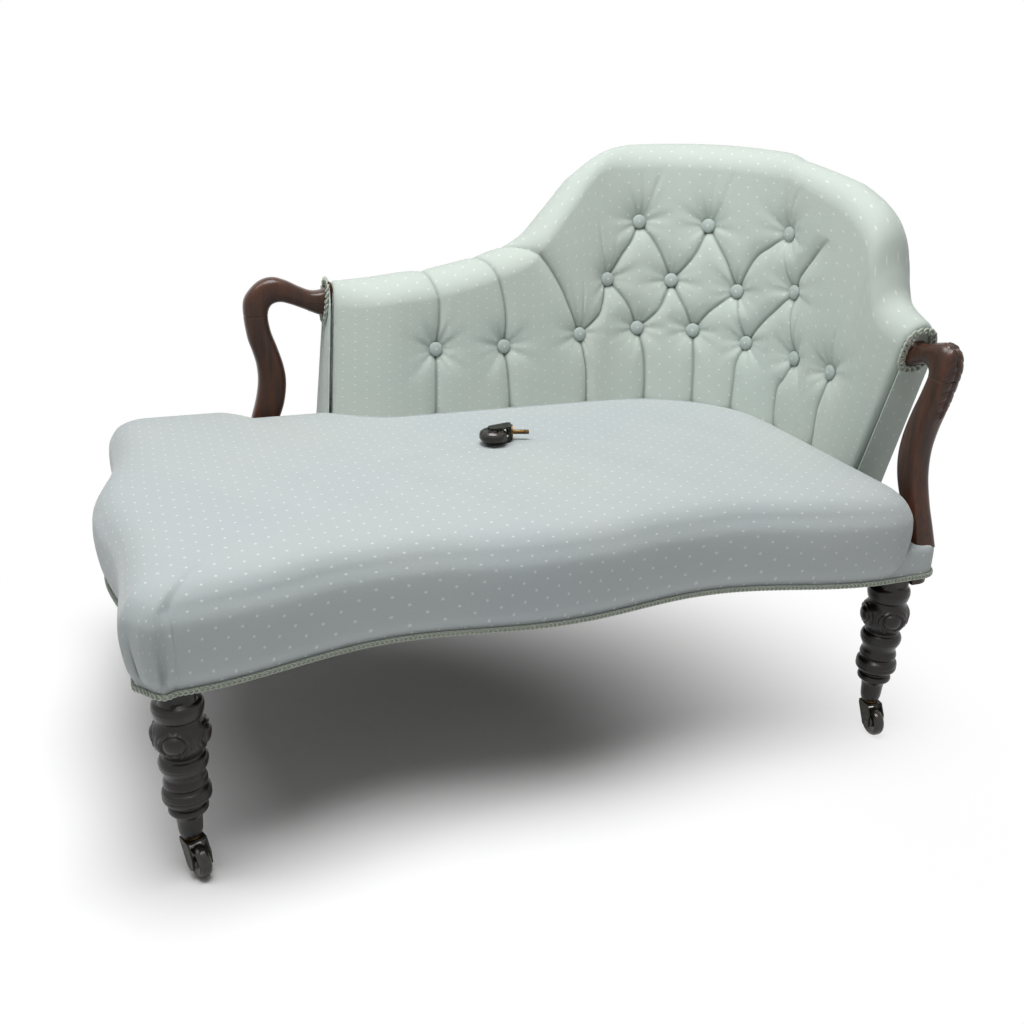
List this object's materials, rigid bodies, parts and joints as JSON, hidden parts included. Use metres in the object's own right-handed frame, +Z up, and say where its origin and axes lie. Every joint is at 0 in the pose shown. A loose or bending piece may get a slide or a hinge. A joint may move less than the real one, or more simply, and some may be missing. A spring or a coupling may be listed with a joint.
{
  "type": "chaise longue",
  "caption": "Button-backed chaise longue with a curved one-ended back, two open scroll arms, a crowned seat and turned legs on castors.",
  "frame": {"origin": "on the floor under the middle of the plan", "axes": "+X along the seat towards the head end, +Y towards the long back, +Z up"},
  "size_m": [1.1897, 0.7256, 0.837],
  "materials": {
    "show_wood": "polished dark mahogany",
    "frame_wood": "sawn hardwood, part stained dark",
    "seat_fabric": "pale blue-grey woven cloth with small dots",
    "back_fabric": "grey-green woven cloth with small dots",
    "button_fabric": "covered in the same cloth",
    "gimp": "scroll braid",
    "webbing": "jute webbing and twine",
    "hessian": "plain hessian",
    "spring_steel": "coppered wire",
    "castor_wheel": "glossy dark hardwood",
    "castor_brass": "aged brass",
    "castor_horn": "dark lacquered"
  },
  "bodies": {
    "frame": {"arm_dowels": "frame_wood", "back_canvas": "hessian", "back_cover": "back_fabric", "back_pad": "back_fabric", "back_tacking_rail": "frame_wood", "back_webbing": "webbing", "button_twines": "webbing", "corner_braces": "frame_wood", "corner_post_rear": "frame_wood", "corner_post_side": "frame_wood", "corner_rail": "frame_wood", "crest_rail": "frame_wood", "dust_cover": "hessian", "foot_end_post": "frame_wood", "foot_rail": "frame_wood", "front_left_leg": "show_wood", "front_left_stem": "castor_brass", "front_rail": "frame_wood", "front_right_leg": "show_wood", "front_right_stem": "castor_brass", "head_batten": "frame_wood", "head_post": "frame_wood", "head_rail": "frame_wood", "low_row_buttons": "button_fabric", "middle_row_buttons": "button_fabric", "rear_arm_scroll": "show_wood", "rear_arm_support": "show_wood", "rear_batten": "frame_wood", "rear_left_leg": "show_wood", "rear_post_left": "frame_wood", "rear_post_right": "frame_wood", "rear_rail": "frame_wood", "rear_right_leg": "show_wood", "rear_right_stem": "castor_brass", "seat_gimp": "gimp", "seat_hessian": "hessian", "seat_pad": "seat_fabric", "seat_springs": "spring_steel", "seat_webbing": "webbing", "side_arm_scroll": "show_wood", "side_arm_support": "show_wood", "top_row_buttons": "button_fabric", "wing_post": "frame_wood"},
    "front_left_horn_body": {"front_left_horn": "castor_horn", "front_left_pin": "castor_brass"},
    "front_left_wheel_body": {"front_left_wheel": "castor_wheel"},
    "front_right_horn_body": {"front_right_horn": "castor_horn", "front_right_pin": "castor_brass"},
    "front_right_wheel_body": {"front_right_wheel": "castor_wheel"},
    "rear_right_horn_body": {"rear_right_horn": "castor_horn", "rear_right_pin": "castor_brass"},
    "rear_right_wheel_body": {"rear_right_wheel": "castor_wheel"},
    "loose_castor": {"loose_stem": "castor_brass", "loose_horn": "castor_horn", "loose_pin": "castor_brass"},
    "loose_wheel_body": {"loose_wheel": "castor_wheel"}
  },
  "joints": [
    {"name": "front_left_swivel", "type": "hinge", "parent": "frame", "child": "front_left_horn_body", "pos_m": [-0.513, -0.3245, 0.048], "axis": [0, 0, 1], "continuous": true},
    {"name": "front_left_roll", "type": "hinge", "parent": "front_left_horn_body", "child": "front_left_wheel_body", "pos_m": [-0.50655, -0.3413, 0.0215], "axis": [0.9336, 0.3584, 0], "continuous": true},
    {"name": "front_right_swivel", "type": "hinge", "parent": "frame", "child": "front_right_horn_body", "pos_m": [0.513, -0.3245, 0.048], "axis": [0, 0, 1], "continuous": true},
    {"name": "front_right_roll", "type": "hinge", "parent": "front_right_horn_body", "child": "front_right_wheel_body", "pos_m": [0.51143, -0.34243, 0.0215], "axis": [0.9962, -0.0872, 0], "continuous": true},
    {"name": "rear_right_swivel", "type": "hinge", "parent": "frame", "child": "rear_right_horn_body", "pos_m": [0.337, 0.2765, 0.048], "axis": [0, 0, 1], "continuous": true},
    {"name": "rear_right_roll", "type": "hinge", "parent": "rear_right_horn_body", "child": "rear_right_wheel_body", "pos_m": [0.34732, 0.26176, 0.0215], "axis": [0.8192, 0.5736, 0], "continuous": true},
    {"name": "loose_castor_lift", "type": "slide", "parent": "frame", "child": "loose_castor", "axis": [0, 0, 1], "range_m": [0, 0.1]},
    {"name": "loose_castor_roll", "type": "hinge", "parent": "loose_castor", "child": "loose_wheel_body", "pos_m": [-0.005, 0.0075, 0.4257], "axis": [0, 0, 1], "continuous": true}
  ]
}
